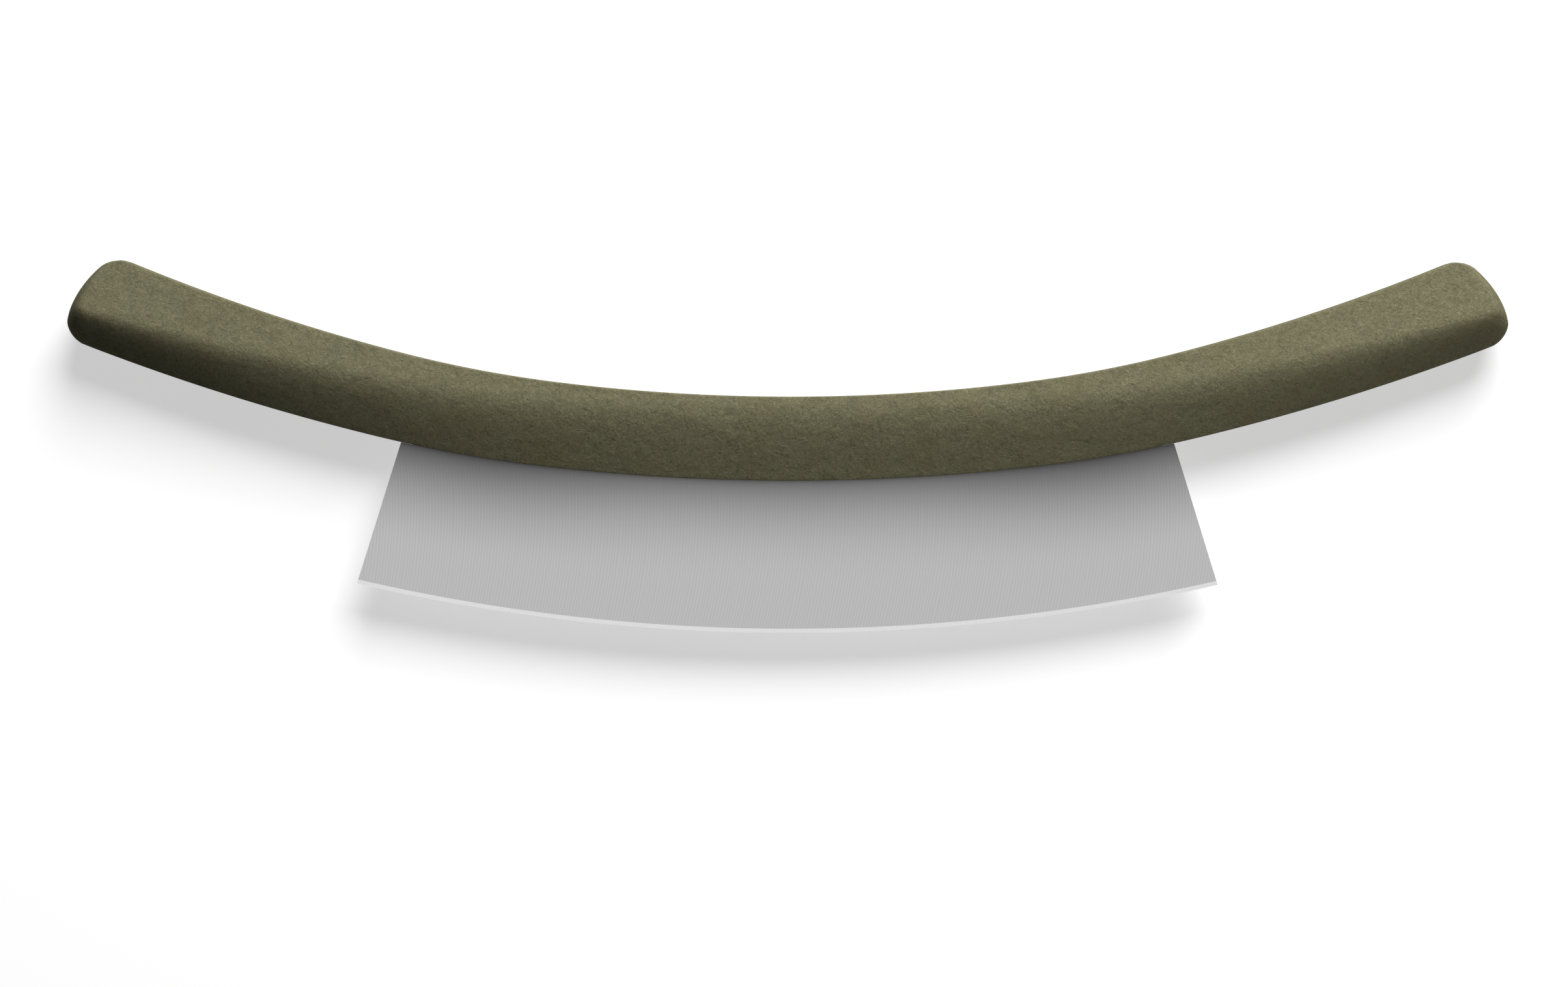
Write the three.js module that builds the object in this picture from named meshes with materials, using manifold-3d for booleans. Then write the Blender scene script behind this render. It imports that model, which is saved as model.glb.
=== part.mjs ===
// Mezzaluna: a rocking herb knife with one bowed two-hand handle and a fixed blade under its middle.
// Millimetres, +Z up. The knife lies flat on the backs of its grips. X runs along the handle, +Y points
// from the cutting edge to the hollow spine of the bow, and the blade lies level.

import * as THREE from 'three';
import { LoftGeometry } from 'three/addons/geometries/LoftGeometry.js';
import { mergeVertices } from 'three/addons/utils/BufferGeometryUtils.js';
import Module from 'manifold-3d';

// Bow of the handle: three arcs along the spine, each side of the middle
const HALF_SPAN = 182.4; // spine length from the middle to the grip end
const SHOULDER_START = 62; // spine length where the bow tightens
const GRIP_START = 100; // spine length where the bow eases into the grip
const MIDDLE_BOW_RADIUS = 482;
const SHOULDER_BOW_RADIUS = 310;
const GRIP_BOW_RADIUS = 530;

// Section of the handle: depth runs from the spine down to the belly
const MIDDLE_DEPTH = 21.6;
const GRIP_DEPTH = 24.3;
const HALF_THICKNESS = 12; // from the parting plane to the flat of one face
const SPINE_DRAFT = 0.2; // lean of the spine's wall, so that it leaves the mould
const SPINE_ROUND = 0.4; // rounding between the spine's wall and the flat face
const MIDDLE_FLAT = 1.4; // width of the flat face in the middle
const GRIP_FLAT = 15; // width of the flat face at the grip end
const MIDDLE_EASE = 0.39; // share of the slope that rounds over from the flat, in the middle
const GRIP_EASE = 0.7; // the same share at the grip end
const LIP_WALL = 2.3; // composite left beside the blade at the slot's mouth
const GRIP_LIP = 2; // height of the belly's wall at the grip end
const LIP_ROUND = 0.5; // rounding between the slope and the belly's wall

// Ends of the grips
const END_SLANT = 9.9; // degrees that the end leans from square
const END_BULGE = 3.2; // how far the end stands out from a straight slant
const SPINE_CORNER = 5; // corner radius at the spine
const BELLY_CORNER = 3.9; // corner radius at the belly
const SPINE_END_ROUND = 1.2; // rounding of the end's long edges, at the spine
const BELLY_END_ROUND = 5.5; // the same rounding at the belly

// Blade
const BLADE_THICKNESS = 1.2;
const BLADE_TOP_HALF = 94.8; // spine length from the middle to the blade's upper corner
const EDGE_CHORD = 221.1; // between the tips of the cutting edge
const BLADE_DROP = 39.1; // from the belly to the cutting edge, at the middle
const EDGE_RADIUS = 495; // rocking curve of the cutting edge
const BEVEL_WIDTH = 1.1;
const EDGE_LAND = 0.1; // thickness left at the cutting edge

// Tang and the pins that hold it
const TANG_DEPTH = 14;
const TANG_SHOULDER = 3; // step in from the blade's upper corner to the tang
const PIN_COUNT = 5;
const PIN_INSET = 16; // from the tang's end to the outermost pin
const PIN_DIAMETER = 5;
const PIN_CHAMFER = 0.5;
const PIN_COVER = 3; // composite left over a pin's blind bore

// Grips: moulded pockets and the dowels that line the halves up
const GRIP_WALL = 4;
const POCKET_RIB = 10; // solid composite between the tang and a pocket
const DOWEL_DIAMETER = 6;
const DOWEL_INSET = 19; // from the grip end to the dowel

// Gap all round each piece that sits in another
const CLEARANCE = 0.3;

// Finishes
const COMPOSITE = { color: 0x6e6c56, roughness: 0.85, metalness: 0 };
const BLADE_STEEL = { color: 0xb8b8b8, roughness: 0.35, metalness: 1 };
const PIN_STEEL = { color: 0xa8a8a6, roughness: 0.3, metalness: 1 };

// Facets along and around the curved pieces
const BODY_STEPS = 44;
const END_STEPS = 5;
const ROUND_STEPS = 3;
const FLAT_STEPS = 5;
const SLOPE_STEPS = 8;
const BLADE_STEPS = 32;
const POCKET_STEPS = 8;
const PIN_SIDES = 16;

// Sizes that follow from the ones above
const MIDDLE_LIP = BLADE_THICKNESS / 2 + CLEARANCE + LIP_WALL;
const FLAT_START = SPINE_DRAFT + SPINE_ROUND;
const TANG_HALF = BLADE_TOP_HALF - TANG_SHOULDER;
const TANG_ROOT = CLEARANCE + BLADE_THICKNESS; // from the belly down into the blade
const DOWEL_PLACE = HALF_SPAN - DOWEL_INSET;
const DOWEL_REACH = HALF_THICKNESS - GRIP_WALL - CLEARANCE;
const POCKET_START = TANG_HALF + POCKET_RIB;
const POCKET_END = DOWEL_PLACE - DOWEL_DIAMETER / 2 - GRIP_WALL;

const wasm = await Module();
wasm.setup();

// Curve of the handle

function spineAt(along) {
  const side = Math.sign(along);
  const length = Math.abs(along);
  const arcs = [
    [SHOULDER_START, MIDDLE_BOW_RADIUS],
    [GRIP_START, SHOULDER_BOW_RADIUS],
    [Infinity, GRIP_BOW_RADIUS],
  ];
  const spine = { x: 0, y: 0, turn: 0 };
  let start = 0;
  for (const [end, radius] of arcs) {
    const run = Math.max(0, Math.min(length, end) - start);
    const turn = spine.turn + run / radius;
    spine.x += side * radius * (Math.sin(turn) - Math.sin(spine.turn));
    spine.y += radius * (Math.cos(spine.turn) - Math.cos(turn));
    spine.turn = turn;
    start = end;
  }
  spine.turn *= side;
  return spine;
}

function planPoint(along, across, up) {
  const { x, y, turn } = spineAt(along);
  return new THREE.Vector3(x + across * Math.sin(turn), y - across * Math.cos(turn), up);
}

function easeToGrip(along, middle, grip) {
  return middle + (grip - middle) * (along / HALF_SPAN) ** 2;
}

function depthAt(along) {
  return easeToGrip(along, MIDDLE_DEPTH, GRIP_DEPTH);
}

function crestAt(along) {
  return FLAT_START + easeToGrip(along, MIDDLE_FLAT, GRIP_FLAT);
}

function lipAt(along) {
  return easeToGrip(along, MIDDLE_LIP, GRIP_LIP);
}

// Height of the front face over the parting plane: flat to the crest, then rounding over to a straight slope
function heightAt(along, across) {
  const crest = crestAt(along);
  const ease = easeToGrip(along, MIDDLE_EASE, GRIP_EASE);
  const share = Math.max(0, (across - crest) / (depthAt(along) - crest));
  const fall = (Math.hypot(share, ease) - ease) / (Math.hypot(1, ease) - ease);
  return HALF_THICKNESS - (HALF_THICKNESS - lipAt(along)) * fall;
}

// Spine length at a straight slanted end, whose two corners are arcs
function slantedReach(across) {
  const slant = THREE.MathUtils.degToRad(END_SLANT);
  const lineAt = (depth) => HALF_SPAN - END_BULGE + Math.tan(slant) * (depth - GRIP_DEPTH / 2);
  const cornerAt = (radius, centre, inset) =>
    lineAt(centre) - radius / Math.cos(slant) + Math.sqrt(radius ** 2 - (radius - inset) ** 2);
  const aboveBelly = Math.max(0, GRIP_DEPTH - across);
  if (across < SPINE_CORNER * (1 - Math.sin(slant))) {
    return cornerAt(SPINE_CORNER, SPINE_CORNER, across);
  }
  if (aboveBelly < BELLY_CORNER * (1 + Math.sin(slant))) {
    return cornerAt(BELLY_CORNER, GRIP_DEPTH - BELLY_CORNER, aboveBelly);
  }
  return lineAt(across);
}

// Spine length at the end, which bulges out from the straight slant
function endReach(across) {
  return slantedReach(across) + END_BULGE * (1 - ((2 * across) / GRIP_DEPTH - 1) ** 2);
}

function endRoundAt(across) {
  return SPINE_END_ROUND + ((BELLY_END_ROUND - SPINE_END_ROUND) * across) / GRIP_DEPTH;
}

// Solids

function toSolid(geometry) {
  const bare = new THREE.BufferGeometry();
  bare.setAttribute('position', geometry.attributes.position);
  bare.setIndex(geometry.index);
  const merged = mergeVertices(bare);
  const corners = merged.index.array;
  const kept = [];
  for (let i = 0; i < corners.length; i += 3) {
    const [a, b, c] = corners.slice(i, i + 3);
    if (a !== b && b !== c && c !== a) kept.push(a, b, c);
  }
  const vertProperties = merged.attributes.position.array;
  return new wasm.Manifold(new wasm.Mesh({ numProp: 3, vertProperties, triVerts: new Uint32Array(kept) }));
}

function toGeometry(solid) {
  const { vertProperties, triVerts } = solid.getMesh();
  const geometry = new THREE.BufferGeometry();
  geometry.setAttribute('position', new THREE.BufferAttribute(vertProperties, 3));
  geometry.setIndex(new THREE.BufferAttribute(triVerts, 1));
  geometry.computeVertexNormals();
  return geometry;
}

function cutAll(solid, cutters) {
  return cutters.reduce((left, cutter) => left.subtract(cutter), solid);
}

function spread(from, to, steps) {
  return Array.from({ length: steps + 1 }, (_, i) => from + ((to - from) * i) / steps);
}

function quarterTurns(steps) {
  return spread(0, Math.PI / 2, steps);
}

// A closed loft between two flat ends, from -X to +X
function loftAlong(stations, sectionAt) {
  return toSolid(new LoftGeometry(stations.map(sectionAt), { capStart: true, capEnd: true }));
}

// A section that is the same on both sides of the parting plane
function twoSided(frontPoints) {
  const rearPoints = frontPoints.map((point) => new THREE.Vector3(point.x, point.y, -point.z));
  return [...frontPoints, ...rearPoints.reverse()];
}

// Handle half

// A rounding's points as [across, height]. Its angles are measured from straight up, towards the belly.
function roundPoints([across, height], radius, from, to) {
  return spread(from, to, ROUND_STEPS).map((angle) => [
    across + radius * Math.sin(angle),
    height + radius * Math.cos(angle),
  ]);
}

// The face from the spine to the belly, as [across, height]
function facePoints(along) {
  const depth = depthAt(along);
  const steepness = Math.atan((heightAt(along, depth - LIP_ROUND) - lipAt(along)) / LIP_ROUND);
  const lipStart = depth - LIP_ROUND * (1 - Math.sin(steepness));
  const lipCentre = [depth - LIP_ROUND, heightAt(along, lipStart) - LIP_ROUND * Math.cos(steepness)];
  const spineCentre = [FLAT_START, HALF_THICKNESS - SPINE_ROUND];
  const flat = spread(FLAT_START, crestAt(along), FLAT_STEPS).slice(1, -1);
  const slope = spread(crestAt(along), lipStart, SLOPE_STEPS).slice(0, -1);
  return [
    [0, 0],
    ...roundPoints(spineCentre, SPINE_ROUND, -Math.PI / 2, 0),
    ...[...flat, ...slope].map((across) => [across, heightAt(along, across)]),
    ...roundPoints(lipCentre, LIP_ROUND, steepness, Math.PI / 2),
  ];
}

// One ring of the half: over the face from spine to belly, then straight back in the parting plane.
// The last ring at each end lies flat in that plane, so its way back repeats its way out.
function handleSection({ share, endAngle }) {
  const face = facePoints(HALF_SPAN).map(([gripAcross], row) => {
    const endRound = endRoundAt(gripAcross);
    const along = share * (endReach(gripAcross) - endRound * (1 - Math.sin(endAngle)));
    const [across, height] = facePoints(along)[row];
    return planPoint(along, across, height * Math.cos(endAngle));
  });
  const liesFlat = endAngle === Math.PI / 2;
  const belly = face.at(-1);
  const floor = face.slice(1).map((point) => (liesFlat ? point : belly).clone().setZ(0));
  return [...face, ...floor.reverse()];
}

function handleStations() {
  const turns = quarterTurns(END_STEPS).slice(1);
  const rightEnd = turns.map((endAngle) => ({ share: 1, endAngle }));
  const leftEnd = turns.map((endAngle) => ({ share: -1, endAngle })).reverse();
  const body = spread(-1, 1, BODY_STEPS).map((share) => ({ share, endAngle: 0 }));
  return [...leftEnd, ...body, ...rightEnd];
}

function pocketSection(along) {
  const far = depthAt(along) - GRIP_WALL;
  const ceiling = spread(GRIP_WALL, far, POCKET_STEPS).map((across) =>
    planPoint(along, across, heightAt(along, across) - GRIP_WALL),
  );
  return [...ceiling, planPoint(along, far, -GRIP_WALL), planPoint(along, GRIP_WALL, -GRIP_WALL)];
}

function pockets() {
  const right = spread(POCKET_START, POCKET_END, POCKET_STEPS);
  const left = right.map((along) => -along).reverse();
  return [left, right].map((stations) => loftAlong(stations, pocketSection));
}

function handleHalf(cutters) {
  const blank = toSolid(new LoftGeometry(handleStations().map(handleSection)));
  return toGeometry(cutAll(blank, [...pockets(), ...cutters]));
}

// Blade and tang

function edgePoint(x) {
  const rise = EDGE_RADIUS - Math.sqrt(EDGE_RADIUS ** 2 - x ** 2);
  return new THREE.Vector3(x, rise - MIDDLE_DEPTH - BLADE_DROP, EDGE_LAND / 2);
}

function bladeSection(share) {
  const along = share * BLADE_TOP_HALF;
  const top = planPoint(along, depthAt(along) + CLEARANCE, 0);
  const edge = edgePoint((share * EDGE_CHORD) / 2);
  const upwards = top.clone().setZ(edge.z).sub(edge).normalize();
  const bevel = edge.clone().addScaledVector(upwards, BEVEL_WIDTH);
  top.z = BLADE_THICKNESS / 2;
  bevel.z = BLADE_THICKNESS / 2;
  return twoSided([top, bevel, edge]);
}

// The tang, or with a spare margin all round the recess that takes it
function tangSolid(spare) {
  const reach = TANG_HALF + spare;
  const up = BLADE_THICKNESS / 2 + spare;
  return loftAlong(spread(-reach, reach, BLADE_STEPS), (along) => {
    const depth = depthAt(along);
    return twoSided([
      planPoint(along, depth - TANG_DEPTH - spare, up),
      planPoint(along, depth + TANG_ROOT, up),
    ]);
  });
}

function bladeSolid(bores) {
  const body = loftAlong(spread(-1, 1, BLADE_STEPS), bladeSection);
  return toGeometry(cutAll(body.add(tangSolid(0)), bores));
}

// Pins and dowels

function pinPlaces() {
  const outermost = TANG_HALF - PIN_INSET;
  return spread(-outermost, outermost, PIN_COUNT - 1).map((along) =>
    planPoint(along, depthAt(along) - TANG_DEPTH / 2, 0),
  );
}

function dowelPlaces() {
  return [-DOWEL_PLACE, DOWEL_PLACE].map((along) => planPoint(along, depthAt(along) / 2, 0));
}

function pinReach() {
  return heightAt(0, MIDDLE_DEPTH - TANG_DEPTH / 2) - PIN_COVER - CLEARANCE;
}

function pinGeometry(diameter, reach) {
  const radius = diameter / 2;
  const profile = [
    new THREE.Vector2(0, -reach),
    new THREE.Vector2(radius - PIN_CHAMFER, -reach),
    new THREE.Vector2(radius, PIN_CHAMFER - reach),
    new THREE.Vector2(radius, reach - PIN_CHAMFER),
    new THREE.Vector2(radius - PIN_CHAMFER, reach),
    new THREE.Vector2(0, reach),
  ];
  return new THREE.LatheGeometry(profile, PIN_SIDES).rotateX(Math.PI / 2);
}

function boreSolid(place, diameter, reach) {
  const radius = diameter / 2 + CLEARANCE;
  const bore = new THREE.CylinderGeometry(radius, radius, 2 * (reach + CLEARANCE), PIN_SIDES);
  return toSolid(bore.rotateX(Math.PI / 2).translate(place.x, place.y, 0));
}

// Assembly

function addPiece(group, name, geometry, finish) {
  const piece = new THREE.Mesh(geometry, new THREE.MeshStandardMaterial(finish));
  piece.name = name;
  group.add(piece);
  return piece;
}

function addPins(group, names, places, geometry) {
  places.forEach((place, i) => {
    addPiece(group, names[i], geometry.clone(), PIN_STEEL).position.copy(place);
  });
}

function mezzaluna() {
  const knife = new THREE.Group();
  const pins = pinPlaces();
  const dowels = dowelPlaces();
  const pinBores = pins.map((place) => boreSolid(place, PIN_DIAMETER, pinReach()));
  const dowelBores = dowels.map((place) => boreSolid(place, DOWEL_DIAMETER, DOWEL_REACH));
  const half = handleHalf([tangSolid(CLEARANCE), ...pinBores, ...dowelBores]);

  addPiece(knife, 'blade', bladeSolid(pinBores), BLADE_STEEL);
  addPiece(knife, 'front_handle_half', half, COMPOSITE);
  // Both halves come from one mould: the rear one is the same moulding, turned about
  addPiece(knife, 'rear_handle_half', half.clone(), COMPOSITE).rotation.y = Math.PI;
  addPins(knife, pins.map((_, i) => `tang_pin_${i + 1}`), pins, pinGeometry(PIN_DIAMETER, pinReach()));
  addPins(knife, ['grip_dowel_left', 'grip_dowel_right'], dowels, pinGeometry(DOWEL_DIAMETER, DOWEL_REACH));

  const box = new THREE.Box3().setFromObject(knife);
  knife.position.set(0, -(box.min.y + box.max.y) / 2, HALF_THICKNESS);
  return knife;
}

export default mezzaluna();
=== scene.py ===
# Mezzaluna: a rocking herb knife with a bowed handle of wood-fibre composite over a brushed steel blade.
# Metres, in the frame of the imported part. The knife lies on the backs of its grips. X runs along the
# handle, +Y points from the cutting edge to the hollow spine of the bow, and +Z is up.

import math

import bmesh
import bpy
from mathutils import Matrix, Vector


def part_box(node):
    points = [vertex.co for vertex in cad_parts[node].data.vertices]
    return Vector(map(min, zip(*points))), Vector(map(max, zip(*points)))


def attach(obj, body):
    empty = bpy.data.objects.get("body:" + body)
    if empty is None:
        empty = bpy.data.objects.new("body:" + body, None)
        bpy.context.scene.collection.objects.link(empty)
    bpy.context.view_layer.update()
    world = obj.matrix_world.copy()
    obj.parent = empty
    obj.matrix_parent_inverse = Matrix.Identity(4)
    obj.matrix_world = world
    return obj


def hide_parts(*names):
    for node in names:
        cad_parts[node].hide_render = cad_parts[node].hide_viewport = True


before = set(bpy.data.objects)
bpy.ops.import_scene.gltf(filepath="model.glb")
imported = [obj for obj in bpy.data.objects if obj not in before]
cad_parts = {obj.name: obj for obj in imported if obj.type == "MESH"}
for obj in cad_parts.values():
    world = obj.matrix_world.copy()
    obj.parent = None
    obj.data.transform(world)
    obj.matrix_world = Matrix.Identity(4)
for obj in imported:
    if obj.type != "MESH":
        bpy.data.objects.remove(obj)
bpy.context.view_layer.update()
MM = 0.001

# Bow of the handle: three arcs along the spine, each side of the middle
HALF_SPAN = 182.4 * MM
SHOULDER_START = 62 * MM
GRIP_START = 100 * MM
MIDDLE_BOW_RADIUS = 482 * MM
SHOULDER_BOW_RADIUS = 310 * MM
GRIP_BOW_RADIUS = 530 * MM

# Section of the handle: depth runs from the spine down to the belly
MIDDLE_DEPTH = 21.6 * MM
GRIP_DEPTH = 24.3 * MM
HALF_THICKNESS = 12 * MM
SPINE_DRAFT = 0.2 * MM
SPINE_ROUND = 0.4 * MM
FLAT_START = SPINE_DRAFT + SPINE_ROUND
MIDDLE_FLAT = 1.4 * MM
GRIP_FLAT = 15 * MM
MIDDLE_EASE = 0.39  # share of the slope that rounds over from the flat
GRIP_EASE = 0.7
MIDDLE_LIP = 3.2 * MM
GRIP_LIP = 2.0 * MM
LIP_ROUND = 0.5 * MM
SEAM_CHAMFER = 0.2 * MM

# Ends of the grips
END_SLANT = math.radians(9.9)
END_BULGE = 3.2 * MM
SPINE_CORNER = 5 * MM
BELLY_CORNER = 3.9 * MM
SPINE_END_ROUND = 1.2 * MM  # rounding of the end's long edge at the spine
BELLY_END_ROUND = 5.5 * MM

# Blade and tang
BLADE_THICKNESS = 1.2 * MM
BLADE_TOP_HALF = 94.8 * MM
EDGE_CHORD = 221.1 * MM
BLADE_DROP = 39.1 * MM
EDGE_RADIUS = 495 * MM
BEVEL_WIDTH = 1.1 * MM
EDGE_LAND = 0.1 * MM
SHEET_CHAMFER = 0.12 * MM
SHOULDER_GAP = 0.05 * MM
TANG_DEPTH = 14 * MM
TANG_HALF = 91.8 * MM
TANG_ROOT = 1.5 * MM
CLEARANCE = 0.3 * MM

# Facets along and around the curved pieces
BODY_STEPS = 180
END_STEPS = 14
WALL_STEPS = 3
ROUND_STEPS = 6
FLAT_STEPS = 14
SLOPE_STEPS = 24
FLOOR_STEPS = 1
BLADE_STEPS = 122
BORE_SIDES = 32
SHARP_ANGLE = math.radians(20)
RIM_ANGLE = math.radians(70)
SQUARE_ANGLE = math.radians(80)
MERGE_DISTANCE = 0.001 * MM

# Places taken from the frame: the parting plane, and the spine at the middle of the bow
PARTING_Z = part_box("front_handle_half")[0].z
BELLY_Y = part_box("front_handle_half")[0].y
SPINE_Y = BELLY_Y + MIDDLE_DEPTH
PINS = [name for name in sorted(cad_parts) if name.startswith(("tang_pin", "grip_dowel"))]

# Photograph: what its frame spans on the blade's plane, and the point in its middle
PHOTO_WIDTH = 402.9 * MM
PHOTO_MIDDLE = (-0.9 * MM, -11.8 * MM)
PHOTO_TURN = math.radians(0.09)
CAMERA_LENS = 120
CAMERA_SENSOR = 36

# Composite: sizes of its grain, and how much each stands up from the surface
FIBRE_SIZE = 0.7 * MM
CLUMP_SIZE = 2.8 * MM
PATCH_SIZE = 11 * MM
SPECK_SPACING = 2.0 * MM
FIBRE_RELIEF = 0.25
CLUMP_RELIEF = 0.35
PATCH_RELIEF = 0.6

# Other steel: the stone's marks and the lathe's rings are drawn coarser than real ones, so that they show
STONE_MARK = 0.4 * MM
RING_SPACING = 0.3 * MM

# Brushing of the blade: arcs about the middle of its height
GRAIN_MIDDLE_Y = -15.6 * MM
GRAIN_RADIUS = 113 * MM
LINE_SPACING = 0.78 * MM
LINE_HEIGHT = 0.002 * MM
STREAK_WIDTH = 0.5 * MM  # drawn coarser than real brush marks, so that they show
STREAK_STRETCH = 0.03  # share of their length that is left along the brushing
WAVE_PERIOD = math.pi / 10  # of a wave texture at scale 1
# Painted shade on the blade: darker colour under the handle, deeper towards the blade's ends
PAINTED_SHADE_REACH = 26 * MM  # below the handle, where the painted shade under it fades out
PAINTED_SHADE_END_START = 20 * MM  # from the blade's middle, where the painted shade starts to deepen
PAINTED_SHADE_END_FULL = 85 * MM

# Studio: a white floor and surround, a key from beyond the spine, a weak low fill from the right
WHITE = (1, 1, 1, 1)
FLOOR_HALF = 4.0
FLOOR_DROP = 0.1 * MM  # clear of the grips, so that the faces don't flicker
FLOOR_GLOW = 0.57
FLOOR_SHADE = 0.58
FLOOR_BOUNCE = 0.08
FLOOR_FADE_START = 0.22  # from the knife's middle, where the floor starts to run out to white
FLOOR_FADE_END = 0.45
AMBIENT = 0.005
KEY_DIRECTION = Vector((0.33, 1.10, 1.0)).normalized()
KEY_DISTANCE = 1.15
KEY_SIZE = 0.9
KEY_LEVEL = 1.13  # on the floor
FILL_PLACE = Vector((0.36, -0.42, 0.045))
FILL_AIM = Vector((0.1, 0, 0.012))
FILL_SIZE = 0.25
FILL_LEVEL = 0.27


# Curve of the handle

def spine_at(along):
    """Place in plan and turn of the spine, at a length along it from the middle."""
    side = math.copysign(1, along)
    length = abs(along)
    x, y, turn, start = 0, 0, 0, 0
    arcs = (
        (SHOULDER_START, MIDDLE_BOW_RADIUS),
        (GRIP_START, SHOULDER_BOW_RADIUS),
        (math.inf, GRIP_BOW_RADIUS),
    )
    for end, radius in arcs:
        after = turn + max(0, min(length, end) - start) / radius
        x += radius * (math.sin(after) - math.sin(turn))
        y += radius * (math.cos(turn) - math.cos(after))
        turn, start = after, end
    return side * x, y, side * turn


def plan_point(along, across, up):
    x, y, turn = spine_at(along)
    return Vector((x + across * math.sin(turn), SPINE_Y + y - across * math.cos(turn), PARTING_Z + up))


def ease_to_grip(along, middle, grip):
    return middle + (grip - middle) * (along / HALF_SPAN) ** 2


def depth_at(along):
    return ease_to_grip(along, MIDDLE_DEPTH, GRIP_DEPTH)


def crest_at(along):
    return FLAT_START + ease_to_grip(along, MIDDLE_FLAT, GRIP_FLAT)


def lip_at(along):
    return ease_to_grip(along, MIDDLE_LIP, GRIP_LIP)


def height_at(along, across):
    """Height over the parting plane: flat to the crest, then rounding over to a straight slope."""
    crest = crest_at(along)
    ease = ease_to_grip(along, MIDDLE_EASE, GRIP_EASE)
    share = max(0, (across - crest) / (depth_at(along) - crest))
    fall = (math.hypot(share, ease) - ease) / (math.hypot(1, ease) - ease)
    return HALF_THICKNESS - (HALF_THICKNESS - lip_at(along)) * fall


def slanted_reach(across):
    """Spine length at a straight slanted end, whose two corners are arcs."""
    def line_at(depth):
        return HALF_SPAN - END_BULGE + math.tan(END_SLANT) * (depth - GRIP_DEPTH / 2)

    def corner_at(radius, centre, inset):
        return line_at(centre) - radius / math.cos(END_SLANT) + math.sqrt(radius**2 - (radius - inset) ** 2)

    above_belly = max(0, GRIP_DEPTH - across)
    if across < SPINE_CORNER * (1 - math.sin(END_SLANT)):
        return corner_at(SPINE_CORNER, SPINE_CORNER, across)
    if above_belly < BELLY_CORNER * (1 + math.sin(END_SLANT)):
        return corner_at(BELLY_CORNER, GRIP_DEPTH - BELLY_CORNER, above_belly)
    return line_at(across)


def end_reach(across):
    """Spine length at the end, which bulges out from the straight slant."""
    return slanted_reach(across) + END_BULGE * (1 - (2 * across / GRIP_DEPTH - 1) ** 2)


# Handle halves

def line_between(start, end):
    return lambda share: tuple(a + (b - a) * share for a, b in zip(start, end))


def rounding(centre, radius, start, end):
    """An arc, with its angles measured from straight up towards the belly."""
    def at(share):
        angle = start + (end - start) * share
        return centre[0] + radius * math.sin(angle), centre[1] + radius * math.cos(angle)

    return at


def section_point(along, row):
    """Distance from the spine and height of one row, over the face from the spine to the belly and back."""
    crest = crest_at(along)
    depth = depth_at(along)
    steepness = math.atan((height_at(along, depth - LIP_ROUND) - lip_at(along)) / LIP_ROUND)
    lip_start = depth - LIP_ROUND * (1 - math.sin(steepness))
    lip_centre = (depth - LIP_ROUND, height_at(along, lip_start) - LIP_ROUND * math.cos(steepness))
    spine_centre = (FLAT_START, HALF_THICKNESS - SPINE_ROUND)

    def slope(share):
        across = crest + (lip_start - crest) * share
        return across, height_at(along, across)

    stretches = (
        (WALL_STEPS, line_between((0, 0), (SPINE_DRAFT, spine_centre[1]))),
        (ROUND_STEPS, rounding(spine_centre, SPINE_ROUND, -math.pi / 2, 0)),
        (FLAT_STEPS, line_between((FLAT_START, HALF_THICKNESS), (crest, HALF_THICKNESS))),
        (SLOPE_STEPS, slope),
        (ROUND_STEPS, rounding(lip_centre, LIP_ROUND, steepness, math.pi / 2)),
        (WALL_STEPS, line_between((depth, lip_centre[1]), (depth, 0))),
        (FLOOR_STEPS, line_between((depth, 0), (0, 0))),
    )
    for steps, point_at in stretches:
        if row <= steps:
            return point_at(row / steps)
        row -= steps


def face_point(column, row, side):
    """A point on a half's face. Columns past the body's run round the grip's end."""
    body = BODY_STEPS / 2
    share = max(-1, min(1, column / body))
    end_angle = max(0, abs(column) - body) / END_STEPS * math.pi / 2
    grip_across = section_point(HALF_SPAN, row)[0]
    end_round = SPINE_END_ROUND + (BELLY_END_ROUND - SPINE_END_ROUND) * grip_across / GRIP_DEPTH
    flat_reach = end_reach(grip_across) - end_round
    along = share * (flat_reach + end_round * math.sin(end_angle))
    across, height = section_point(along, row)
    return plan_point(along, across, side * height * math.cos(end_angle))


def half_tube(side):
    """A flat grid rolled round one half's section. The last ring at each end lies in the parting plane."""
    columns = BODY_STEPS + 2 * END_STEPS
    rows = 2 * WALL_STEPS + 2 * ROUND_STEPS + FLAT_STEPS + SLOPE_STEPS + FLOOR_STEPS
    bm = bmesh.new()
    bmesh.ops.create_grid(bm, x_segments=columns, y_segments=rows, size=1)
    for vert in bm.verts:
        column = round(vert.co.x * columns / 2)
        row = round((vert.co.y + 1) * rows / 2)
        vert.co = face_point(column, row, side)
    bmesh.ops.remove_doubles(bm, verts=bm.verts, dist=MERGE_DISTANCE)
    return bm


def half_solid(side):
    """The tube with its flat ends closed, and a fine chamfer round the rim of the parting plane."""
    bm = half_tube(side)
    open_ends = [edge for edge in bm.edges if edge.is_boundary]
    bmesh.ops.holes_fill(bm, edges=open_ends, sides=0)
    bmesh.ops.recalc_face_normals(bm, faces=bm.faces)
    rim = [edge for edge in bm.edges if edge.calc_face_angle(0) > RIM_ANGLE]
    bmesh.ops.bevel(
        bm, geom=rim, offset=SEAM_CHAMFER, segments=1, profile=0.5, affect="EDGES", material=-1
    )
    return bm


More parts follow.
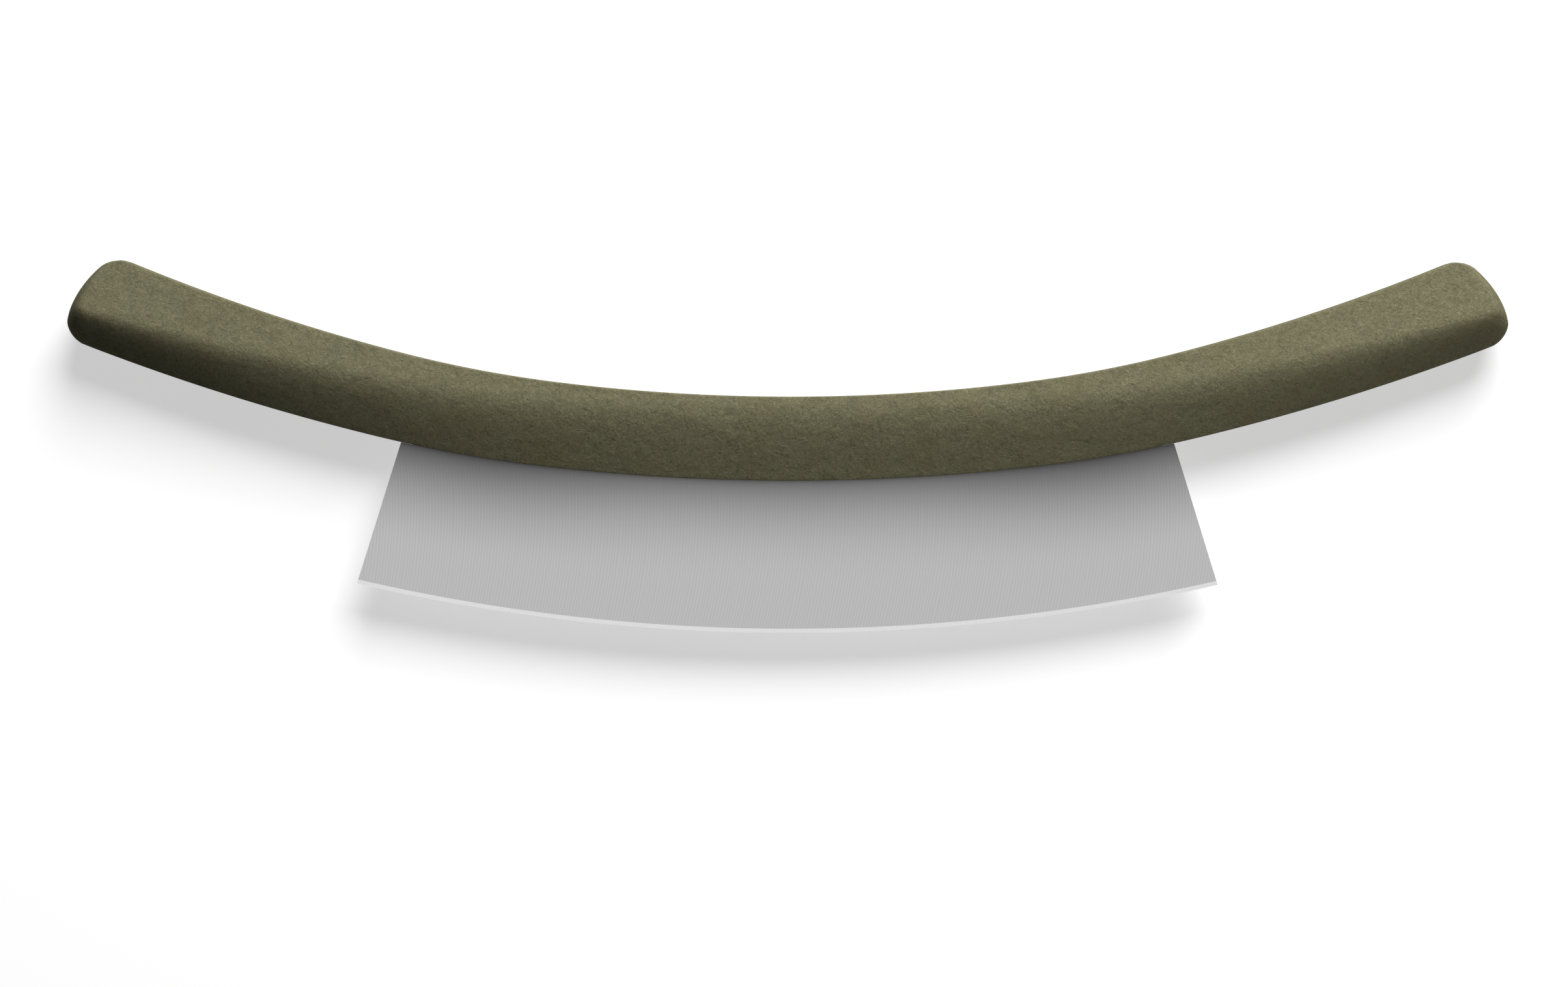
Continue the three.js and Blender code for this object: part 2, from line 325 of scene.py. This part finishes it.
def recess_solid():
    """The space that the tang takes in the handle, with its clearance, open at the belly."""
    bm = bmesh.new()
    bmesh.ops.create_grid(bm, x_segments=BLADE_STEPS, y_segments=1, size=1)
    up = BLADE_THICKNESS / 2 + CLEARANCE
    for vert in bm.verts:
        along = vert.co.x * (TANG_HALF + CLEARANCE)
        depth = depth_at(along)
        inner = depth - TANG_DEPTH - CLEARANCE
        vert.co = plan_point(along, inner if vert.co.y > 0 else depth + TANG_ROOT, -up)
    raise_copy(bm, 2 * up)
    return bm


def raise_copy(bm, rise):
    """Gives a sheet its thickness, upwards."""
    made = bmesh.ops.extrude_face_region(bm, geom=bm.faces[:])["geom"]
    raised = [part for part in made if isinstance(part, bmesh.types.BMVert)]
    bmesh.ops.translate(bm, verts=raised, vec=(0, 0, rise))


def bore_solids():
    """One round hole for each hidden pin and dowel, with its clearance."""
    bm = bmesh.new()
    for name in PINS:
        low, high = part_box(name)
        radius = (high.x - low.x) / 2 + CLEARANCE
        bmesh.ops.create_cone(
            bm,
            cap_ends=True,
            segments=BORE_SIDES,
            radius1=radius,
            radius2=radius,
            depth=high.z - low.z + 2 * CLEARANCE,
            matrix=Matrix.Translation((low + high) / 2),
        )
    return bm


# Blade

def blade_point(share, row):
    """A point on the blade's middle plane. Rows run from the cutting edge up to the top of the tang."""
    along = share * BLADE_TOP_HALF
    depth = depth_at(along)
    if row == 3:
        return plan_point(along, depth - TANG_DEPTH, 0)
    top = plan_point(along, depth + SHOULDER_GAP, 0)
    if row == 2:
        return top
    x = share * EDGE_CHORD / 2
    rise = EDGE_RADIUS - math.sqrt(EDGE_RADIUS**2 - x**2)
    edge = Vector((x, SPINE_Y + rise - MIDDLE_DEPTH - BLADE_DROP, PARTING_Z))
    if row == 1:
        return edge + (top - edge).normalized() * BEVEL_WIDTH
    return edge


def blade_share(column):
    """Share of the blade's half width at a column. The outermost column is the step beside the tang."""
    tang_columns = BLADE_STEPS / 2 - 1
    if abs(column) > tang_columns:
        return math.copysign(1, column)
    return column / tang_columns * TANG_HALF / BLADE_TOP_HALF


def below_handle(share, row):
    """Distance of a row below the handle's belly. The tang's is negative."""
    reach = (blade_point(share, row) - blade_point(share, 2)).length
    return -reach if row == 3 else reach


def is_square(edge):
    """True for the sheet's square edges. The ground bevel's own ends are too thin to chamfer."""
    on_bevel = any(face.material_index == 1 for face in edge.link_faces)
    return edge.calc_face_angle(0) > SQUARE_ANGLE and not on_bevel


def blade_solid():
    """A sheet cut to the blade and its tang, given its thickness, thinned to the edge and chamfered."""
    bm = bmesh.new()
    bmesh.ops.create_grid(bm, x_segments=BLADE_STEPS, y_segments=3, size=1)
    beside_tang = []
    for face in bm.faces:
        middle = face.calc_center_median()
        face.material_index = 1 if middle.y < -1 / 3 else 0
        if middle.y > 1 / 3 and abs(middle.x) > 1 - 2 / BLADE_STEPS:
            beside_tang.append(face)
    bmesh.ops.delete(bm, geom=beside_tang, context="FACES")
    # Distance below the handle's belly, which sets where the painted shade falls on the blade
    below = bm.verts.layers.float.new("below_handle")
    for vert in bm.verts:
        share = blade_share(round(vert.co.x * BLADE_STEPS / 2))
        row = round((vert.co.y + 1) * 3 / 2)
        half = (EDGE_LAND if row == 0 else BLADE_THICKNESS) / 2
        vert.co = blade_point(share, row) - Vector((0, 0, half))
        vert[below] = below_handle(share, row)
    made = bmesh.ops.extrude_face_region(bm, geom=bm.faces[:])["geom"]
    for part in made:
        if isinstance(part, bmesh.types.BMVert):
            part.co.z = 2 * PARTING_Z - part.co.z
    bmesh.ops.recalc_face_normals(bm, faces=bm.faces)
    square = [edge for edge in bm.edges if is_square(edge)]
    bmesh.ops.bevel(
        bm, geom=square, offset=SHEET_CHAMFER, segments=1, profile=0.5, affect="EDGES", material=-1
    )
    return bm


# Making pieces

def new_object(name, bm):
    bmesh.ops.recalc_face_normals(bm, faces=bm.faces)
    mesh = bpy.data.meshes.new(name)
    bm.to_mesh(mesh)
    bm.free()
    made = bpy.data.objects.new(name, mesh)
    bpy.context.scene.collection.objects.link(made)
    return made


def cut_out(piece, cutter_bm):
    """Cuts a shape out of a piece, and keeps the result as the piece's own mesh."""
    cutter = new_object("cutter", cutter_bm)
    cut = piece.modifiers.new("cut", "BOOLEAN")
    cut.object = cutter
    cut.solver = "EXACT"
    seen = piece.evaluated_get(bpy.context.evaluated_depsgraph_get())
    piece.data = bpy.data.meshes.new_from_object(seen)
    piece.modifiers.remove(cut)
    bpy.data.objects.remove(cutter)


def dress(piece, finishes, node):
    """Smooth shading with crisp corners, the finishes, and the CAD node that the piece stands for."""
    piece.data.shade_smooth()
    piece.data.set_sharp_from_angle(angle=SHARP_ANGLE)
    for finish in finishes:
        piece.data.materials.append(finish)
    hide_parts(node)
    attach(piece, "root")


# Nodes and colours

def srgb(code):
    """A hex colour as linear red, green, blue and alpha."""
    parts = [int(code[i : i + 2], 16) / 255 for i in (1, 3, 5)]
    linear = [c / 12.92 if c <= 0.04045 else ((c + 0.055) / 1.055) ** 2.4 for c in parts]
    return (*linear, 1)


def add_node(tree, kind, inputs, **settings):
    """Adds a node. Each input is a value, or the output socket that it is linked to."""
    made = tree.nodes.new(kind)
    for name, value in settings.items():
        setattr(made, name, value)
    for socket, value in inputs.items():
        if isinstance(value, bpy.types.NodeSocket):
            tree.links.new(value, made.inputs[socket])
        else:
            made.inputs[socket].default_value = value
    return made


def new_material(name):
    material = bpy.data.materials.new(name)
    material.use_nodes = True
    material.node_tree.nodes.clear()
    return material, material.node_tree


def per(size):
    """Texture scale that gives a pattern of a real size."""
    return 1 / size


# Finishes

def fibre_composite():
    """Wood-fibre composite, moulded and left matt: olive, with pale and dark fibres and a few specks."""
    material, tree = new_material("moulded_fibre_composite")
    place = add_node(tree, "ShaderNodeTexCoord", {}).outputs["Object"]
    fibres = add_node(
        tree,
        "ShaderNodeTexNoise",
        {"Vector": place, "Scale": per(FIBRE_SIZE), "Detail": 4, "Roughness": 0.8, "Distortion": 1.0},
    ).outputs["Fac"]
    clumps = add_node(
        tree,
        "ShaderNodeTexNoise",
        {"Vector": place, "Scale": per(CLUMP_SIZE), "Detail": 3, "Roughness": 0.7, "Distortion": 0.6},
    ).outputs["Fac"]
    patches = add_node(
        tree, "ShaderNodeTexNoise", {"Vector": place, "Scale": per(PATCH_SIZE), "Detail": 2}
    ).outputs["Fac"]
    cells = add_node(tree, "ShaderNodeTexVoronoi", {"Vector": place, "Scale": per(SPECK_SPACING)})

    fibre_share = add_node(
        tree, "ShaderNodeMapRange", {"Value": fibres, "From Min": 0.3, "From Max": 0.7}
    ).outputs["Result"]
    olive = add_node(
        tree,
        "ShaderNodeMix",
        {0: fibre_share, 6: srgb("#64614a"), 7: srgb("#908d70")},
        data_type="RGBA",
    ).outputs[2]
    brown_share = add_node(
        tree,
        "ShaderNodeMapRange",
        {"Value": patches, "From Min": 0.4, "From Max": 0.75, "To Max": 0.35},
    ).outputs["Result"]
    tinted = add_node(
        tree, "ShaderNodeMix", {0: brown_share, 6: olive, 7: srgb("#7d7558")}, data_type="RGBA"
    ).outputs[2]

    clump_share = add_node(
        tree,
        "ShaderNodeMapRange",
        {"Value": clumps, "From Min": 0.5, "From Max": 0.75, "To Max": 0.35},
    ).outputs["Result"]
    mottled = add_node(
        tree, "ShaderNodeMix", {0: clump_share, 6: tinted, 7: srgb("#524f3b")}, data_type="RGBA"
    ).outputs[2]

    picked = add_node(tree, "ShaderNodeSeparateColor", {0: cells.outputs["Color"]}).outputs["Red"]
    is_speck = add_node(
        tree, "ShaderNodeMath", {0: picked, 1: 0.8}, operation="GREATER_THAN"
    ).outputs[0]
    round_speck = add_node(
        tree,
        "ShaderNodeMapRange",
        {
            "Value": cells.outputs["Distance"],
            "From Min": 0.08,
            "From Max": 0.20,
            "To Min": 0.35,
            "To Max": 0,
        },
    ).outputs["Result"]
    speck_share = add_node(
        tree, "ShaderNodeMath", {0: is_speck, 1: round_speck}, operation="MULTIPLY"
    ).outputs[0]
    colour = add_node(
        tree, "ShaderNodeMix", {0: speck_share, 6: mottled, 7: srgb("#37342a")}, data_type="RGBA"
    ).outputs[2]

    waves = add_node(tree, "ShaderNodeMath", {0: patches, 1: PATCH_RELIEF}, operation="MULTIPLY").outputs[0]
    relief = add_node(
        tree, "ShaderNodeMath", {0: clumps, 1: CLUMP_RELIEF, 2: waves}, operation="MULTIPLY_ADD"
    ).outputs[0]
    fine_relief = add_node(
        tree, "ShaderNodeMath", {0: fibres, 1: FIBRE_RELIEF, 2: relief}, operation="MULTIPLY_ADD"
    ).outputs[0]
    normal = add_node(tree, "ShaderNodeBump", {"Height": fine_relief, "Distance": MM}).outputs["Normal"]
    roughness = add_node(
        tree, "ShaderNodeMapRange", {"Value": fibres, "To Min": 0.95, "To Max": 0.75}
    ).outputs["Result"]
    shader = add_node(
        tree,
        "ShaderNodeBsdfPrincipled",
        {
            "Base Color": colour,
            "Roughness": roughness,
            "Normal": normal,
            "IOR": 1.46,
            "Specular IOR Level": 0.1,
        },
    )
    add_node(tree, "ShaderNodeOutputMaterial", {"Surface": shader.outputs[0]})
    return material


def brushed_steel():
    """Stainless sheet, brushed across the blade by a wheel: fine pale lines in shallow arcs, satin sheen.

    Its colour is darkened towards the handle, and more so at the blade's ends: painted shade under the
    handle.
    """
    material, tree = new_material("brushed_stainless_sheet")
    place = add_node(tree, "ShaderNodeTexCoord", {}).outputs["Object"]
    split = add_node(tree, "ShaderNodeSeparateXYZ", {0: place}).outputs
    off_middle = add_node(
        tree, "ShaderNodeMath", {0: split["Y"], 1: GRAIN_MIDDLE_Y}, operation="SUBTRACT"
    ).outputs[0]
    squared = add_node(
        tree, "ShaderNodeMath", {0: off_middle, 1: off_middle}, operation="MULTIPLY"
    ).outputs[0]
    across = add_node(
        tree,
        "ShaderNodeMath",
        {0: squared, 1: 1 / (2 * GRAIN_RADIUS), 2: split["X"]},
        operation="MULTIPLY_ADD",
    ).outputs[0]
    along = add_node(
        tree, "ShaderNodeMath", {0: off_middle, 1: STREAK_STRETCH}, operation="MULTIPLY"
    ).outputs[0]
    grain_place = add_node(
        tree, "ShaderNodeCombineXYZ", {"X": across, "Y": along, "Z": 0.0}
    ).outputs[0]
    lines = add_node(
        tree,
        "ShaderNodeTexWave",
        {"Vector": grain_place, "Scale": per(LINE_SPACING) * WAVE_PERIOD, "Distortion": 3, "Detail": 2},
        bands_direction="X",
    ).outputs["Fac"]
    streaks = add_node(
        tree,
        "ShaderNodeTexNoise",
        {"Vector": grain_place, "Scale": per(STREAK_WIDTH), "Detail": 2, "Roughness": 0.6},
    ).outputs["Fac"]
    brushed = add_node(
        tree, "ShaderNodeMix", {0: lines, 6: srgb("#b6b6b6"), 7: srgb("#bebebe")}, data_type="RGBA"
    ).outputs[2]
    # Painted shade: the colour darkens towards the handle's belly, more so towards the blade's ends
    below = add_node(
        tree, "ShaderNodeAttribute", {}, attribute_name="below_handle"
    ).outputs["Fac"]
    nearness = add_node(
        tree,
        "ShaderNodeMapRange",
        {"Value": below, "From Min": 0.0, "From Max": PAINTED_SHADE_REACH, "To Min": 1, "To Max": 0},
    ).outputs["Result"]
    off_centre = add_node(tree, "ShaderNodeMath", {0: split["X"]}, operation="ABSOLUTE").outputs[0]
    end_share = add_node(
        tree,
        "ShaderNodeMapRange",
        {"Value": off_centre, "From Min": PAINTED_SHADE_END_START, "From Max": PAINTED_SHADE_END_FULL},
        interpolation_type="SMOOTHSTEP",
    ).outputs["Result"]
    fall = add_node(
        tree, "ShaderNodeMapRange", {"Value": end_share, "To Min": 2.0, "To Max": 1.6}
    ).outputs["Result"]
    painted_shade_share = add_node(
        tree, "ShaderNodeMath", {0: nearness, 1: fall}, operation="POWER"
    ).outputs[0]
    painted_shade_tone = add_node(
        tree, "ShaderNodeMix", {0: end_share, 6: srgb("#707070"), 7: srgb("#565656")}, data_type="RGBA"
    ).outputs[2]
    colour = add_node(
        tree, "ShaderNodeMix", {0: painted_shade_share, 6: brushed, 7: painted_shade_tone}, data_type="RGBA"
    ).outputs[2]
    roughness = add_node(
        tree, "ShaderNodeMapRange", {"Value": streaks, "To Min": 0.46, "To Max": 0.40}
    ).outputs["Result"]
    normal = add_node(
        tree, "ShaderNodeBump", {"Height": lines, "Distance": LINE_HEIGHT}
    ).outputs["Normal"]
    shader = add_node(
        tree,
        "ShaderNodeBsdfPrincipled",
        {"Base Color": colour, "Metallic": 1.0, "Roughness": roughness, "Normal": normal},
    )
    add_node(tree, "ShaderNodeOutputMaterial", {"Surface": shader.outputs[0]})
    return material


def ground_steel():
    """The same sheet where a fine stone ground the edge: paler and smoother than the brushed face."""
    material, tree = new_material("stone_ground_stainless")
    place = add_node(tree, "ShaderNodeTexCoord", {}).outputs["Object"]
    marks = add_node(
        tree, "ShaderNodeTexNoise", {"Vector": place, "Scale": per(STONE_MARK), "Detail": 2}
    ).outputs["Fac"]
    colour = add_node(
        tree, "ShaderNodeMix", {0: marks, 6: srgb("#d6d6d6"), 7: srgb("#e1e1e1")}, data_type="RGBA"
    ).outputs[2]
    roughness = add_node(
        tree, "ShaderNodeMapRange", {"Value": marks, "To Min": 0.20, "To Max": 0.30}
    ).outputs["Result"]
    shader = add_node(
        tree, "ShaderNodeBsdfPrincipled", {"Base Color": colour, "Metallic": 1.0, "Roughness": roughness}
    )
    add_node(tree, "ShaderNodeOutputMaterial", {"Surface": shader.outputs[0]})
    return material


def turned_steel():
    """Plain steel rod, turned on a lathe: faint rings along each pin."""
    material, tree = new_material("turned_steel_rod")
    place = add_node(tree, "ShaderNodeTexCoord", {}).outputs["Object"]
    height = add_node(tree, "ShaderNodeSeparateXYZ", {0: place}).outputs["Z"]
    rings = add_node(
        tree,
        "ShaderNodeTexNoise",
        {"W": height, "Scale": per(RING_SPACING), "Detail": 2},
        noise_dimensions="1D",
    ).outputs["Fac"]
    colour = add_node(
        tree, "ShaderNodeMix", {0: rings, 6: srgb("#9c9c9a"), 7: srgb("#bcbcba")}, data_type="RGBA"
    ).outputs[2]
    roughness = add_node(
        tree, "ShaderNodeMapRange", {"Value": rings, "To Min": 0.25, "To Max": 0.4}
    ).outputs["Result"]
    shader = add_node(
        tree, "ShaderNodeBsdfPrincipled", {"Base Color": colour, "Metallic": 1.0, "Roughness": roughness}
    )
    add_node(tree, "ShaderNodeOutputMaterial", {"Surface": shader.outputs[0]})
    return material


# Studio

def shows_background(tree):
    """1 for the rays that show the background: the camera's, and those from gloss or glass."""
    rays = add_node(tree, "ShaderNodeLightPath", {}).outputs
    direct = add_node(
        tree, "ShaderNodeMath", {0: rays["Is Camera Ray"], 1: rays["Is Glossy Ray"]}, operation="MAXIMUM"
    ).outputs[0]
    return add_node(
        tree, "ShaderNodeMath", {0: direct, 1: rays["Is Transmission Ray"]}, operation="MAXIMUM"
    ).outputs[0]


def floor_paint():
    """White floor that glows a little, so that the shadow on it stays pale, and throws back little light.

    Away from the knife it runs out to plain white.
    """
    material, tree = new_material("white_floor")
    place = add_node(tree, "ShaderNodeTexCoord", {}).outputs["Object"]
    off_middle = add_node(tree, "ShaderNodeVectorMath", {0: place}, operation="LENGTH").outputs["Value"]
    fade = add_node(
        tree,
        "ShaderNodeMapRange",
        {"Value": off_middle, "From Min": FLOOR_FADE_START, "From Max": FLOOR_FADE_END},
        interpolation_type="SMOOTHSTEP",
    ).outputs["Result"]
    glow = add_node(tree, "ShaderNodeEmission", {"Color": WHITE, "Strength": FLOOR_GLOW}).outputs[0]
    shade = add_node(
        tree, "ShaderNodeBsdfDiffuse", {"Color": (FLOOR_SHADE, FLOOR_SHADE, FLOOR_SHADE, 1)}
    ).outputs[0]
    near = add_node(tree, "ShaderNodeAddShader", {0: glow, 1: shade}).outputs[0]
    white = add_node(tree, "ShaderNodeEmission", {"Color": WHITE, "Strength": 1.0}).outputs[0]
    shown = add_node(tree, "ShaderNodeMixShader", {0: fade, 1: near, 2: white}).outputs[0]
    bounce = add_node(
        tree, "ShaderNodeBsdfDiffuse", {"Color": (FLOOR_BOUNCE, FLOOR_BOUNCE, FLOOR_BOUNCE, 1)}
    ).outputs[0]
    surface = add_node(
        tree, "ShaderNodeMixShader", {0: shows_background(tree), 1: bounce, 2: shown}
    ).outputs[0]
    add_node(tree, "ShaderNodeOutputMaterial", {"Surface": surface})
    return material


def studio_floor():
    bm = bmesh.new()
    bmesh.ops.create_grid(bm, x_segments=1, y_segments=1, size=FLOOR_HALF)
    bmesh.ops.translate(bm, verts=bm.verts, vec=(0, 0, -FLOOR_DROP))
    floor = new_object("studio_floor", bm)
    floor.data.materials.append(floor_paint())


def studio_surround():
    """White surround, which only the camera and gloss see, and a low ambient light for the rest."""
    world = bpy.data.worlds.new("studio_surround")
    bpy.context.scene.world = world
    world.use_nodes = True
    tree = world.node_tree
    tree.nodes.clear()
    white = add_node(tree, "ShaderNodeBackground", {"Color": WHITE, "Strength": 1.0}).outputs[0]
    ambient = add_node(tree, "ShaderNodeBackground", {"Color": WHITE, "Strength": AMBIENT}).outputs[0]
    surface = add_node(
        tree, "ShaderNodeMixShader", {0: shows_background(tree), 1: ambient, 2: white}
    ).outputs[0]
    add_node(tree, "ShaderNodeOutputWorld", {"Surface": surface})


def soft_lamp(name, place, aim, size, level):
    """A round soft lamp that gloss doesn't show. At level 1 a white surface that faces it is white."""
    away = place - aim
    lamp = bpy.data.lights.new(name, "AREA")
    lamp.shape = "DISK"
    lamp.size = size
    lamp.energy = level * math.pi**2 * away.length_squared
    made = bpy.data.objects.new(name, lamp)
    made.visible_glossy = False
    made.location = place
    made.rotation_euler = away.to_track_quat("Z", "Y").to_euler()
    bpy.context.scene.collection.objects.link(made)


def studio_lamps():
    """A key from beyond the spine, and low on the right a weak fill for the belly."""
    key_level = KEY_LEVEL / KEY_DIRECTION.z
    soft_lamp("key_softbox", KEY_DIRECTION * KEY_DISTANCE, Vector(), KEY_SIZE, key_level)
    soft_lamp("fill_softbox", FILL_PLACE, FILL_AIM, FILL_SIZE, FILL_LEVEL)


def overhead_camera():
    """Straight above the knife, as in the photograph."""
    camera = bpy.data.objects.new("overhead_camera", bpy.data.cameras.new("overhead_camera"))
    camera.data.lens = CAMERA_LENS
    camera.data.sensor_width = CAMERA_SENSOR
    camera.location = (*PHOTO_MIDDLE, PARTING_Z + PHOTO_WIDTH * CAMERA_LENS / CAMERA_SENSOR)
    camera.rotation_euler.z = PHOTO_TURN
    bpy.context.scene.collection.objects.link(camera)
    bpy.context.scene.camera = camera


# The knife and its studio

composite = fibre_composite()
for name, node, side in (("front_half", "front_handle_half", 1), ("rear_half", "rear_handle_half", -1)):
    half = new_object(name, half_solid(side))
    cut_out(half, recess_solid())
    cut_out(half, bore_solids())
    dress(half, [composite], node)

blade = new_object("brushed_blade", blade_solid())
cut_out(blade, bore_solids())
dress(blade, [brushed_steel(), ground_steel()], "blade")

pin_finish = turned_steel()
for name in PINS:
    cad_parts[name].data.materials.clear()
    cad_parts[name].data.materials.append(pin_finish)

studio_floor()
studio_surround()
studio_lamps()
overhead_camera()
bpy.context.scene.view_settings.view_transform = "Standard"
